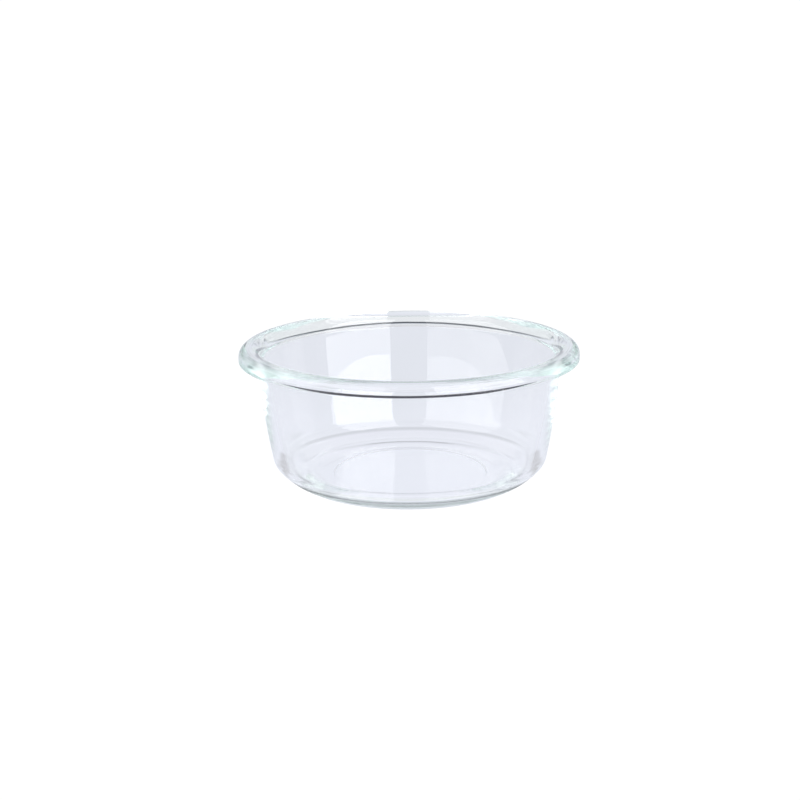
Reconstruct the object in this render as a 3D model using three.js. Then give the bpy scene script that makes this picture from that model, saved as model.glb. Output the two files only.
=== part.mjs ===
// A round glass food storage container: one pressed piece of clear glass.
// Millimetres, +Z up. The origin is the centre of the resting face under the base.
import * as THREE from "three";

const DEGREE = Math.PI / 180;

// Whole container
const RIM_RADIUS = 75;
const HEIGHT = 63.3;
const FLOOR_HEIGHT = 5.8;
const WALL_FOOT_THICKNESS = 4.6;
const WALL_TOP_THICKNESS = 3.4;

// Base: a very shallow hollow inside a flat resting ring
const HOLLOW_RADIUS = 33.5;
const HOLLOW_DEPTH = 0.2;
const HOLLOW_EDGE = 1.5;
const RESTING_RADIUS = 37.4;

// Body: a wide bowl curve, a tighter heel and a gently bowed wall.
// The slopes are the heading of the outer skin, measured from the ground.
const BOWL_CURVE = 29;
const BOWL_SLOPE = 48.8 * DEGREE;
const HEEL_CURVE = 7.05;
const HEEL_SLOPE = 78.35 * DEGREE;
const WALL_TOP_SLOPE = 86.5 * DEGREE;

// Rim: a flange with a rounded lead-in inside, a flat lid seat and a rounded outer edge
const RIM_DEPTH = 5.9;
const UNDER_RIM_FILLET = 1.3;
const LOWER_EDGE_CURVE = 0.2;
const UPPER_EDGE_CURVE = 4;
const LEAD_IN_CURVE = 6.6;

// Facets
const SIDES = 60;
const HOLLOW_STEPS = 2;
const BOWL_STEPS = 7;
const HEEL_STEPS = 3;
const WALL_STEPS = 4;
const FILLET_STEPS = 3;
const LOWER_EDGE_STEPS = 2;
const UPPER_EDGE_STEPS = 4;
const LEAD_IN_STEPS = 5;
const CORNER_STEPS = 6;

// A pen draws the section as a chain of straight runs and tangent arcs. Each point
// keeps the heading that the pen had there, so that a skin can be offset from it.
class Pen {
  constructor(radius, height) {
    this.at = new THREE.Vector2(radius, height);
    this.heading = 0;
    this.points = [];
    this.mark();
  }

  mark() {
    this.points.push({ at: this.at.clone(), heading: this.heading });
  }

  forward(length) {
    this.at.x += length * Math.cos(this.heading);
    this.at.y += length * Math.sin(this.heading);
    this.mark();
  }

  // Turns left by a positive angle and right by a negative one.
  turn(curve, angle, steps) {
    const side = Math.sign(angle) * curve;
    const start = this.at.clone();
    const from = this.heading;
    for (let step = 1; step <= steps; step += 1) {
      this.heading = from + (angle * step) / steps;
      this.at.x = start.x + side * (Math.sin(this.heading) - Math.sin(from));
      this.at.y = start.y + side * (Math.cos(from) - Math.cos(this.heading));
      this.mark();
    }
  }
}

// The underside, from the axis out over the resting ring and up to the top of the heel.
function drawBase(pen) {
  const edgeSlope = 2 * Math.atan(HOLLOW_DEPTH / HOLLOW_EDGE);
  const edgeCurve = HOLLOW_EDGE / 2 / Math.sin(edgeSlope);
  pen.forward(HOLLOW_RADIUS);
  pen.turn(edgeCurve, -edgeSlope, HOLLOW_STEPS);
  pen.turn(edgeCurve, edgeSlope, HOLLOW_STEPS);
  pen.forward(RESTING_RADIUS - pen.at.x);
  pen.turn(BOWL_CURVE, BOWL_SLOPE, BOWL_STEPS);
  pen.turn(HEEL_CURVE, HEEL_SLOPE - BOWL_SLOPE, HEEL_STEPS);
}

// The outer skin of the wall, from the heel up to the fillet under the rim.
function drawWall(pen) {
  const filletDrop = UNDER_RIM_FILLET * (1 - Math.cos(WALL_TOP_SLOPE));
  const wallTop = HEIGHT - RIM_DEPTH - filletDrop;
  const wallCurve = (wallTop - pen.at.y) / (Math.cos(HEEL_SLOPE) - Math.cos(WALL_TOP_SLOPE));
  pen.turn(wallCurve, WALL_TOP_SLOPE - HEEL_SLOPE, WALL_STEPS);
}

// The flange, from the fillet under it round to the bottom of the lead-in.
function drawRim(pen, seatInnerRadius) {
  pen.turn(UNDER_RIM_FILLET, -WALL_TOP_SLOPE, FILLET_STEPS);
  pen.forward(RIM_RADIUS - LOWER_EDGE_CURVE - pen.at.x);
  pen.turn(LOWER_EDGE_CURVE, 90 * DEGREE, LOWER_EDGE_STEPS);
  pen.forward(HEIGHT - UPPER_EDGE_CURVE - pen.at.y);
  pen.turn(UPPER_EDGE_CURVE, 90 * DEGREE, UPPER_EDGE_STEPS);
  pen.forward(pen.at.x - seatInnerRadius);
  pen.turn(LEAD_IN_CURVE, WALL_TOP_SLOPE, LEAD_IN_STEPS);
}

// The inner skin of the wall. The glass thins from the foot of the wall to its top.
function innerWall(outerWall) {
  const foot = outerWall[0].at.y;
  const top = outerWall[outerWall.length - 1].at.y;
  return outerWall.map(({ at, heading }) => {
    const rise = (at.y - foot) / (top - foot);
    const thickness = THREE.MathUtils.lerp(WALL_FOOT_THICKNESS, WALL_TOP_THICKNESS, rise);
    const inwards = heading + 90 * DEGREE;
    return new THREE.Vector2(
      at.x + thickness * Math.cos(inwards),
      at.y + thickness * Math.sin(inwards),
    );
  });
}

// The flat floor and the one arc that takes it into the foot of the inner wall.
function innerFloor(wallFoot) {
  const cornerCurve = (wallFoot.y - FLOOR_HEIGHT) / (1 - Math.cos(HEEL_SLOPE));
  const pen = new Pen(0, FLOOR_HEIGHT);
  pen.forward(wallFoot.x - cornerCurve * Math.sin(HEEL_SLOPE));
  pen.turn(cornerCurve, HEEL_SLOPE, CORNER_STEPS);
  return pen.points.slice(0, -1).map(({ at }) => at);
}

// Where the lid seat ends inside: the lead-in's arc runs on from the inner wall.
function seatInner(wallTop) {
  const leadInBottom = HEIGHT - LEAD_IN_CURVE * (1 - Math.cos(WALL_TOP_SLOPE));
  const rise = leadInBottom - wallTop.y;
  return wallTop.x + rise / Math.tan(WALL_TOP_SLOPE) + LEAD_IN_CURVE * Math.sin(WALL_TOP_SLOPE);
}

// The section runs from the axis under the base, up round the rim and back down to the
// axis on the floor.
function glassSection() {
  const pen = new Pen(0, HOLLOW_DEPTH);
  drawBase(pen);
  const heelTop = pen.points.length - 1;
  drawWall(pen);
  const wall = innerWall(pen.points.slice(heelTop));
  drawRim(pen, seatInner(wall[wall.length - 1]));
  const outerSkin = pen.points.map(({ at }) => at);
  const innerSkin = [...innerFloor(wall[0]), ...wall].reverse();
  return [...outerSkin, ...innerSkin];
}

function glassBowl() {
  const geometry = new THREE.LatheGeometry(glassSection(), SIDES);
  geometry.rotateX(90 * DEGREE);
  const clearGlass = new THREE.MeshStandardMaterial({
    color: 0xe9f3f0,
    roughness: 0.03,
    metalness: 0,
    transparent: true,
    opacity: 0.3,
  });
  const bowl = new THREE.Mesh(geometry, clearGlass);
  bowl.name = "glass_bowl";
  return bowl;
}

const group = new THREE.Group();
group.add(glassBowl());

export default group;
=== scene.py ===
"""The looks of a round glass food container: one piece of clear pressed glass on a white sweep."""

import math

import bpy
from mathutils import Matrix, Vector


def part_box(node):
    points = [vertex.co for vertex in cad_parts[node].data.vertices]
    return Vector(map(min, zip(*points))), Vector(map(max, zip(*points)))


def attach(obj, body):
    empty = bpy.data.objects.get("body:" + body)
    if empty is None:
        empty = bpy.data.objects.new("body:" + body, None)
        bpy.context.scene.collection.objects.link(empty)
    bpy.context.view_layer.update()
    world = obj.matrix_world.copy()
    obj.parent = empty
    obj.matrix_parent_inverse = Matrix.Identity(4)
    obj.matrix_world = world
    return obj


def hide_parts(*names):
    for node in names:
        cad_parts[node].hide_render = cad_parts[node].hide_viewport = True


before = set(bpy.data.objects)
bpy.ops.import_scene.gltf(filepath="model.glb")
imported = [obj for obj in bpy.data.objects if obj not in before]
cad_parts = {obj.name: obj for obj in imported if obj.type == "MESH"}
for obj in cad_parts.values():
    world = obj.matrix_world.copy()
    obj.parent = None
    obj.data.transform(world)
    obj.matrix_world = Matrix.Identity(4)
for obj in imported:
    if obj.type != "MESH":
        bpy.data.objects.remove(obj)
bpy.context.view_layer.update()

NODE = "glass_bowl"

# The frame gives the overall size. The rest of the section is in metres and radians.
_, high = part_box(NODE)
RIM_RADIUS = high.x
HEIGHT = high.z
FLOOR_HEIGHT = 0.0058
WALL_TOP_THICKNESS = 0.0034
WALL_FOOT_THICKNESS = 0.0046

HOLLOW_RADIUS = 0.0335
HOLLOW_DEPTH = 0.0002
HOLLOW_EDGE = 0.0015
RESTING_RADIUS = 0.0374

BOWL_CURVE = 0.029
BOWL_SLOPE = math.radians(48.8)
HEEL_CURVE = 0.00705
HEEL_SLOPE = math.radians(78.35)
WALL_TOP_SLOPE = math.radians(86.5)

RIM_DEPTH = 0.0059
UNDER_RIM_FILLET = 0.0013
LOWER_EDGE_CURVE = 0.0002
UPPER_EDGE_CURVE = 0.004
LEAD_IN_CURVE = 0.0066

SIDES = 360
LONGEST_FACET = 0.0012
ARC_STEP = math.radians(3)
# A short facet at each end of a straight run keeps the run flat under smooth shading
GUARD = 0.00004
QUARTER = math.radians(90)

# The glass: its refractive index, and the tint of its thickness
REFRACTIVE_INDEX = 1.473
TINT = (0.5, 0.7, 0.65, 1)
TINT_DENSITY = 3.0

# Its skin: slow waves drawn up the walls, fine rings on the flange, and patches of roughness.
# The rings fade in outwards and upwards over the given radii and heights.
WAVE_HEIGHT = 0.00003
WAVE_SCALE = (60, 60, 9)
RING_HEIGHT = 0.00015
RINGS_PER_METRE = 1100
RING_RADII = (RIM_RADIUS - 0.0065, RIM_RADIUS - 0.005)
RING_HEIGHTS = (HEIGHT - 0.0025, HEIGHT - 0.001)
ROUGHEST = 0.012
ROUGHNESS_SCALE = 45.0

# Camera: its distance from the middle of the container, its elevation and its roll. It aims
# a little to the left of the middle and above it.
CAMERA_DISTANCE = 0.9
CAMERA_ELEVATION = math.radians(14.71)
CAMERA_ROLL = math.radians(-0.59)
CAMERA_LENS = 91.2
CAMERA_SENSOR = 36
CAMERA_REACH = (0.01, 50)
AIM_LEFT = 0.00421
AIM_UP = 0.00591

# Light: an upright sheet on each side of the camera. Azimuth 0 is the near side.
SHEET_DISTANCE = 0.55
SHEET_HEIGHT = 1.1
RIGHT_SHEET = {"azimuth": 46.5, "width": 0.64, "radiance": 3.2}
LEFT_SHEET = {"azimuth": -56.5, "width": 0.94, "radiance": 1.6}
LIGHT_BOUNCES = 128

# The tones of the pale room. Each later one takes over from the ones before it while its
# measure goes from start to end: to the right by the way's x, and upwards in degrees.
WHITE = (1, 1, 1, 1)
BURNT_OUT = 1.05
ROOM_LEFT = (0.88, 0.93, 0.95, 1)
ROOM_RIGHT = {"start": -0.3, "end": 0.3, "tone": (0.69, 0.76, 0.74, 1)}
ROOM_HIGH = {"start": 27, "end": 50, "tone": (0.86, 0.86, 0.87, 1)}
ROOM_TOP = {"start": 45, "end": 72, "tone": (0.60, 0.59, 0.62, 1)}

# What lies behind the container, in degrees up from the horizon. Strips of room: where each
# one ends, and its tone. In front of them, two level dark bars. All of it fades out to the
# sides between the two angles of its reach, measured from straight behind.
STRIPS = (
    (2.0, (0.85, 0.85, 0.86, 1)),
    (12.2, (0.75, 0.80, 0.79, 1)),
    (23.0, (0.81, 0.837, 0.92, 1)),
    (90, (0.81, 0.83, 0.86, 1)),
)
STRIPS_REACH = (12, 45)
LOW_BAR = {"up": (2.0, 7.4), "reach": (12, 45), "tone": (0.04, 0.04, 0.06, 1)}
HIGH_BAR = {"up": (20.6, 24.1), "reach": (2.5, 11), "tone": (0.07, 0.08, 0.10, 1)}
BAR_SOFTNESS = 0.8

# Two small dark flags, one on each side behind the container
FLAG_UP = (17, 25)
FLAG_ROUND = (15, 27)
FLAG_SOFTNESS = 2
FLAG_TONE = (0.25, 0.31, 0.33, 1)

# The painted light and shade of the floor: its tones stand in for the sheets' light falling on it,
# darker to the back and the front left, lighter to the front right. Each later one takes over from
# the ones before it while the distance its own way goes from start to end.
FLOOR_HALF = 5.0
FLOOR_DROP = 0.0002
FLOOR_MIDDLE = (0.835, 0.855, 0.94, 1)
FLOOR_BACK_PAINTED_SHADE = {"start": 0.031, "end": 0.188, "tone": (0.76, 0.785, 0.855, 1)}
FLOOR_LEFT_PAINTED_SHADE = {"start": 0.134, "end": 0.538, "tone": (0.78, 0.80, 0.83, 1)}
FLOOR_RIGHT_PAINTED_LIGHT = {"start": 0.0636, "end": 0.226, "tone": (0.88, 0.89, 0.96, 1)}

# Painted shadows on the floor, not cast by the container: each a part of a ring round it, where
# the base and the rim would shade the floor, given by the inner radius, the outer radius and the
# softness. Those at the back also fade by how far sideways they lie, as a share of the radius.
FRONT_TO_BACK = (-0.02, 0.01)
FRONT_PAINTED_SHADOW = {"ring": (0.0474, 0.0540, 0.002), "tone": (0.26, 0.27, 0.29, 1)}
# Painted shadows at the back: a thin arc behind the base, a soft arc behind the rim, and patches
# off each side
BACK_PAINTED_SHADOWS = (
    {"ring": (0.0466, 0.0477, 0.0006), "sideways": (0.5, 0.3), "tone": (0.50, 0.51, 0.55, 1)},
    {"ring": (0.074, 0.086, 0.010), "sideways": (0.85, 0.6), "tone": (0.64, 0.66, 0.72, 1)},
    {"ring": (0.071, 0.0815, 0.003), "sideways": (0.965, 0.992), "tone": (0.56, 0.56, 0.59, 1)},
)


class Pen:
    """Draws the section as a chain of straight runs and tangent arcs."""

    def __init__(self, radius, height):
        self.at = Vector((radius, height))
        self.heading = 0.0
        self.points = []
        self.mark()

    def mark(self):
        self.points.append((self.at.copy(), self.heading))

    def forward(self, length):
        start = self.at.copy()
        way = Vector((math.cos(self.heading), math.sin(self.heading)))
        inside = length - 2 * GUARD
        steps = max(1, math.ceil(inside / LONGEST_FACET))
        stops = [GUARD + inside * step / steps for step in range(steps + 1)]
        for stop in stops + [length]:
            self.at = start + way * stop
            self.mark()

    def turn(self, curve, angle):
        """Turns left by a positive angle and right by a negative one."""
        start, first = self.at.copy(), self.heading
        side = math.copysign(curve, angle)
        fine = min(ARC_STEP, LONGEST_FACET / curve)
        steps = max(2, math.ceil(abs(angle) / fine))
        for step in range(1, steps + 1):
            self.heading = first + angle * step / steps
            across = math.sin(self.heading) - math.sin(first)
            up = math.cos(first) - math.cos(self.heading)
            self.at = start + side * Vector((across, up))
            self.mark()


def draw_base(pen):
    """The underside, from the axis out over the resting ring and up to the top of the heel."""
    edge_slope = 2 * math.atan(HOLLOW_DEPTH / HOLLOW_EDGE)
    edge_curve = HOLLOW_EDGE / 2 / math.sin(edge_slope)
    pen.forward(HOLLOW_RADIUS)
    pen.turn(edge_curve, -edge_slope)
    pen.turn(edge_curve, edge_slope)
    pen.forward(RESTING_RADIUS - pen.at.x)
    pen.turn(BOWL_CURVE, BOWL_SLOPE)
    pen.turn(HEEL_CURVE, HEEL_SLOPE - BOWL_SLOPE)


def draw_wall(pen):
    """The outer skin, from the heel up to the fillet under the rim."""
    wall_top = HEIGHT - RIM_DEPTH - UNDER_RIM_FILLET * (1 - math.cos(WALL_TOP_SLOPE))
    wall_curve = (wall_top - pen.at.y) / (math.cos(HEEL_SLOPE) - math.cos(WALL_TOP_SLOPE))
    pen.turn(wall_curve, WALL_TOP_SLOPE - HEEL_SLOPE)


def draw_rim(pen, seat_inner):
    """The flange, from the fillet under it round to the lead-in inside the mouth."""
    pen.turn(UNDER_RIM_FILLET, -WALL_TOP_SLOPE)
    pen.forward(RIM_RADIUS - LOWER_EDGE_CURVE - pen.at.x)
    pen.turn(LOWER_EDGE_CURVE, QUARTER)
    pen.forward(HEIGHT - UPPER_EDGE_CURVE - pen.at.y)
    pen.turn(UPPER_EDGE_CURVE, QUARTER)
    pen.forward(pen.at.x - seat_inner)
    pen.turn(LEAD_IN_CURVE, WALL_TOP_SLOPE)


def inner_wall(outer_wall):
    """The inner skin of the wall: the glass thins from the foot of the wall to its top."""
    foot, top = outer_wall[0][0].y, outer_wall[-1][0].y
    skin = []
    for at, heading in outer_wall:
        rise = (at.y - foot) / (top - foot)
        thickness = WALL_FOOT_THICKNESS + (WALL_TOP_THICKNESS - WALL_FOOT_THICKNESS) * rise
        inwards = heading + QUARTER
        skin.append(at + thickness * Vector((math.cos(inwards), math.sin(inwards))))
    return skin


def inner_floor(wall_foot):
    """The flat floor and the one arc that takes it into the foot of the wall."""
    curve = (wall_foot.y - FLOOR_HEIGHT) / (1 - math.cos(HEEL_SLOPE))
    pen = Pen(0, FLOOR_HEIGHT)
    pen.forward(wall_foot.x - curve * math.sin(HEEL_SLOPE))
    pen.turn(curve, HEEL_SLOPE)
    return [at for at, heading in pen.points[:-1]]


def seat_inner_radius(wall_top):
    """Where the lid seat ends inside: the lead-in's arc runs on from the inner wall."""
    lead_in_bottom = HEIGHT - LEAD_IN_CURVE * (1 - math.cos(WALL_TOP_SLOPE))
    rise = lead_in_bottom - wall_top.y
    return wall_top.x + rise / math.tan(WALL_TOP_SLOPE) + LEAD_IN_CURVE * math.sin(WALL_TOP_SLOPE)


def glass_section():
    """The closed section, from the axis under the base round to the axis on the floor."""
    pen = Pen(0, HOLLOW_DEPTH)
    draw_base(pen)
    heel = len(pen.points) - 1
    draw_wall(pen)
    wall = inner_wall(pen.points[heel:])
    inner = inner_floor(wall[0]) + wall
    draw_rim(pen, seat_inner_radius(wall[-1]))
    outer = [at for at, heading in pen.points]
    return outer + inner[::-1]


def revolve(name, section):
    """A closed solid of revolution, with one vertex at each end on the axis."""
    turns = [2 * math.pi * side / SIDES for side in range(SIDES)]
    circle = [(math.cos(turn), math.sin(turn)) for turn in turns]
    verts = [(0, 0, section[0].y)]
    for at in section[1:-1]:
        verts.extend((at.x * across, at.x * deep, at.y) for across, deep in circle)
    verts.append((0, 0, section[-1].y))
    faces = []
    rows = len(section) - 2
    for side in range(SIDES):
        following = (side + 1) % SIDES
        faces.append((0, 1 + following, 1 + side))
        for row in range(rows - 1):
            here, there = 1 + row * SIDES, 1 + (row + 1) * SIDES
            faces.append((here + side, here + following, there + following, there + side))
        last = 1 + (rows - 1) * SIDES
        faces.append((last + side, last + following, len(verts) - 1))
    mesh = bpy.data.meshes.new(name)
    mesh.from_pydata(verts, [], faces)
    mesh.validate()
    mesh.polygons.foreach_set("use_smooth", [True] * len(mesh.polygons))
    mesh.update()
    piece = bpy.data.objects.new(name, mesh)
    bpy.context.scene.collection.objects.link(piece)
    return piece


class Shader:
    """Adds nodes to a tree. Each input is given as a plain value or as another node's socket."""

    def __init__(self, tree):
        tree.nodes.clear()
        self.nodes, self.links = tree.nodes, tree.links

    def put(self, socket, value):
        if isinstance(value, bpy.types.NodeSocket):
            self.links.new(value, socket)
        else:
            socket.default_value = value

    def node(self, kind, **inputs):
        node = self.nodes.new("ShaderNode" + kind)
        for name, value in inputs.items():
            self.put(node.inputs[name.replace("_", " ")], value)
        return node

    def math(self, operation, *values):
        node = self.node("Math")
        node.operation = operation
        for socket, value in zip(node.inputs, values):
            self.put(socket, value)
        return node.outputs[0]

    def axes(self, coordinates):
        place = self.node("TexCoord").outputs[coordinates]
        return self.node("SeparateXYZ", Vector=place).outputs

    def reach(self, x, y):
        """How far a place is from the upright axis."""
        squares = self.math("ADD", self.math("POWER", x, 2), self.math("POWER", y, 2))
        return self.math("SQRT", squares)

    def ramp(self, value, start, end):
        """Eases from nothing to one while the value goes from start to end."""
        node = self.node("MapRange", Value=value, From_Min=start, From_Max=end)
        node.interpolation_type = "SMOOTHSTEP"
        return node.outputs["Result"]

    def blend(self, first, second, share):
        node = self.nodes.new("ShaderNodeMixRGB")
        self.put(node.inputs["Fac"], share)
        self.put(node.inputs["Color1"], first)
        self.put(node.inputs["Color2"], second)
        return node.outputs["Color"]


def surface_relief(shader):
    """The height of the fire-polished skin: slow waves drawn up the walls, and the fine rings
    that the turned mould leaves on the flange."""
    place = shader.node("TexCoord").outputs["Object"]
    drawn = shader.node("Mapping", Vector=place, Scale=WAVE_SCALE).outputs[0]
    waves = shader.node("TexNoise", Vector=drawn, Scale=1.0, Detail=1.0).outputs[0]
    x, y, z = shader.node("SeparateXYZ", Vector=place).outputs
    radius = shader.reach(x, y)
    rings = shader.node("TexNoise", Scale=RINGS_PER_METRE, Detail=1.0)
    rings.noise_dimensions = "1D"
    shader.put(rings.inputs["W"], shader.math("SUBTRACT", radius, z))
    outwards = shader.ramp(radius, *RING_RADII)
    on_flange = shader.math("MULTIPLY", outwards, shader.ramp(z, *RING_HEIGHTS))
    ring_height = shader.math("MULTIPLY", on_flange, RING_HEIGHT)
    ridges = shader.math("MULTIPLY", rings.outputs[0], ring_height)
    return shader.math("MULTIPLY_ADD", waves, WAVE_HEIGHT, ridges)


def clear_glass():
    material = bpy.data.materials.new("clear_glass")
    material.use_nodes = True
    shader = Shader(material.node_tree)
    glass = shader.node("BsdfPrincipled", Transmission_Weight=1.0, IOR=REFRACTIVE_INDEX)
    shader.put(glass.inputs["Base Color"], WHITE)
    bump = shader.node("Bump", Strength=1.0, Distance=1.0, Height=surface_relief(shader))
    shader.put(glass.inputs["Normal"], bump.outputs["Normal"])
    place = shader.node("TexCoord").outputs["Object"]
    handling = shader.node("TexNoise", Vector=place, Scale=ROUGHNESS_SCALE, Detail=3.0).outputs[0]
    shader.put(glass.inputs["Roughness"], shader.math("MULTIPLY", handling, ROUGHEST))
    tint = shader.node("VolumeAbsorption", Color=TINT, Density=TINT_DENSITY)
    output = shader.node("OutputMaterial", Surface=glass.outputs["BSDF"])
    shader.put(output.inputs["Volume"], tint.outputs["Volume"])
    return material


def white_to_camera(shader, kind, colour, output):
    """The studio is burnt out to white behind the container, but keeps its tones in the glass."""
    tones = shader.node(kind, Color=colour)
    white = shader.node(kind, Color=WHITE, Strength=BURNT_OUT)
    seen = shader.node("LightPath").outputs["Is Camera Ray"]
    mix = shader.node("MixShader", Fac=seen)
    shader.put(mix.inputs[1], tones.outputs[0])
    shader.put(mix.inputs[2], white.outputs[0])
    shader.put(shader.node(output).inputs["Surface"], mix.outputs[0])


def band(shader, value, start, end, soft):
    """One while the value is between start and end and nothing outside them, with soft edges."""
    inside = shader.ramp(value, start, start + soft)
    outside = shader.ramp(value, end + soft, end)
    return shader.math("MULTIPLY", inside, outside)


def take_over(shader, tones, value, start, end, tone):
    """Goes over from the tones to one more tone while the value goes from start to end."""
    return shader.blend(tones, tone, shader.ramp(value, start, end))


def lay_painted_shadow(shader, tones, shadow, reach, share):
    """Lays a share of one ring of painted shadow over the tones of the floor."""
    cover = shader.math("MULTIPLY", band(shader, reach, *shadow["ring"]), share)
    return shader.blend(tones, shadow["tone"], cover)


def floor_tones(shader):
    """The pale floor, with painted light and shade, and painted shadow rings where the base and
    the thick rim would shade it; none of it is cast.
    """
    x, y, _ = shader.axes("Object")
    rightwards = shader.math("SUBTRACT", x, y)
    leftwards = shader.math("MULTIPLY", shader.math("ADD", x, y), -1)
    # Painted light and shade: darker to the back and the front left, lighter to the front right
    tones = take_over(shader, FLOOR_MIDDLE, y, **FLOOR_BACK_PAINTED_SHADE)
    tones = take_over(shader, tones, leftwards, **FLOOR_LEFT_PAINTED_SHADE)
    tones = take_over(shader, tones, rightwards, **FLOOR_RIGHT_PAINTED_LIGHT)
    reach = shader.reach(x, y)
    back = shader.ramp(y, *FRONT_TO_BACK)
    front = shader.math("SUBTRACT", 1, back)
    # Painted shadow in front of the base, not cast by it
    tones = lay_painted_shadow(shader, tones, FRONT_PAINTED_SHADOW, reach, front)
    sideways = shader.math("DIVIDE", shader.math("ABSOLUTE", x), reach)
    # Painted shadows at the back, not cast by the container
    for shadow in BACK_PAINTED_SHADOWS:
        share = shader.math("MULTIPLY", back, shader.ramp(sideways, *shadow["sideways"]))
        tones = lay_painted_shadow(shader, tones, shadow, reach, share)
    return tones


def white_floor():
    half = FLOOR_HALF
    corners = [(-half, -half, 0), (half, -half, 0), (half, half, 0), (-half, half, 0)]
    mesh = bpy.data.meshes.new("white_floor")
    mesh.from_pydata(corners, [], [(0, 1, 2, 3)])
    floor = bpy.data.objects.new("white_floor", mesh)
    floor.location.z = -FLOOR_DROP
    bpy.context.scene.collection.objects.link(floor)
    material = bpy.data.materials.new("white_floor")
    material.use_nodes = True
    shader = Shader(material.node_tree)
    # The floor glows: an emission plane whose painted tones and painted shadows stand in for the
    # light of the sheets falling on it
    white_to_camera(shader, "Emission", floor_tones(shader), "OutputMaterial")
    mesh.materials.append(material)


def strips_behind(shader, up_behind):
    edge, tones = STRIPS[0]
    for end, tone in STRIPS[1:]:
        tones = take_over(shader, tones, up_behind, edge - BAR_SOFTNESS, edge + BAR_SOFTNESS, tone)
        edge = end
    return tones


def room_tones(shader):
    """The pale room round the container, by the direction from it. The strips and bars behind
    it are level, so their height is taken against the way to the back."""
    x, y, z = shader.axes("Generated")
    up = shader.math("DEGREES", shader.math("ARCSINE", z))
    backwards = shader.math("MAXIMUM", y, 0.001)
    up_behind = shader.math("DEGREES", shader.math("ARCTAN2", z, backwards))
    round_behind = shader.math("DEGREES", shader.math("ABSOLUTE", shader.math("ARCTAN2", x, y)))
    tones = take_over(shader, ROOM_LEFT, x, **ROOM_RIGHT)
    tones = take_over(shader, tones, up, **ROOM_HIGH)
    past_strips = shader.ramp(round_behind, *STRIPS_REACH)
    tones = shader.blend(strips_behind(shader, up_behind), tones, past_strips)
    for bar in (LOW_BAR, HIGH_BAR):
        near, far = bar["reach"]
        level = band(shader, up_behind, *bar["up"], BAR_SOFTNESS)
        cover = shader.math("MULTIPLY", level, shader.ramp(round_behind, far, near))
        tones = shader.blend(tones, bar["tone"], cover)
    flag_level = band(shader, up, *FLAG_UP, FLAG_SOFTNESS)
    flag_side = band(shader, round_behind, *FLAG_ROUND, FLAG_SOFTNESS)
    tones = shader.blend(tones, FLAG_TONE, shader.math("MULTIPLY", flag_level, flag_side))
    return take_over(shader, tones, up, **ROOM_TOP)


def studio_world():
    world = bpy.data.worlds.new("studio")
    bpy.context.scene.world = world
    world.use_nodes = True
    shader = Shader(world.node_tree)
    white_to_camera(shader, "Background", room_tones(shader), "OutputWorld")


def light_sheet(name, azimuth, width, radiance):
    """An upright rectangle of soft light that stands on the ground and faces the container."""
    data = bpy.data.lights.new(name, "AREA")
    data.shape = "RECTANGLE"
    data.size, data.size_y = width, SHEET_HEIGHT
    data.energy = radiance * math.pi * width * SHEET_HEIGHT
    light = bpy.data.objects.new(name, data)
    turn = math.radians(azimuth)
    out = Vector((math.sin(turn), -math.cos(turn), 0))
    light.location = out * SHEET_DISTANCE + Vector((0, 0, SHEET_HEIGHT / 2))
    light.rotation_euler = out.to_track_quat("Z", "Y").to_euler()
    light.visible_camera = False
    bpy.context.scene.collection.objects.link(light)


def camera():
    data = bpy.data.cameras.new("camera")
    data.sensor_width = CAMERA_SENSOR
    data.lens = CAMERA_LENS
    data.clip_start, data.clip_end = CAMERA_REACH
    cam = bpy.data.objects.new("camera", data)
    centre = Vector((0, 0, HEIGHT / 2))
    level, steep = math.cos(CAMERA_ELEVATION), math.sin(CAMERA_ELEVATION)
    eye = centre + CAMERA_DISTANCE * Vector((0, -level, steep))
    aim = centre + Vector((-AIM_LEFT, AIM_UP * steep, AIM_UP * level))
    turn = (eye - aim).to_track_quat("Z", "Y").to_matrix().to_4x4()
    cam.matrix_world = Matrix.Translation(eye) @ turn @ Matrix.Rotation(CAMERA_ROLL, 4, "Z")
    bpy.context.scene.collection.objects.link(cam)
    bpy.context.scene.camera = cam


bowl = revolve("glass_container", glass_section())
bowl.data.materials.append(clear_glass())
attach(bowl, "root")
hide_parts(NODE)

camera()
white_floor()
studio_world()
light_sheet("light_left", **LEFT_SHEET)
light_sheet("light_right", **RIGHT_SHEET)

scene = bpy.context.scene
scene.view_settings.view_transform = "Standard"
scene.cycles.max_bounces = LIGHT_BOUNCES
scene.cycles.transmission_bounces = LIGHT_BOUNCES
scene.cycles.glossy_bounces = LIGHT_BOUNCES
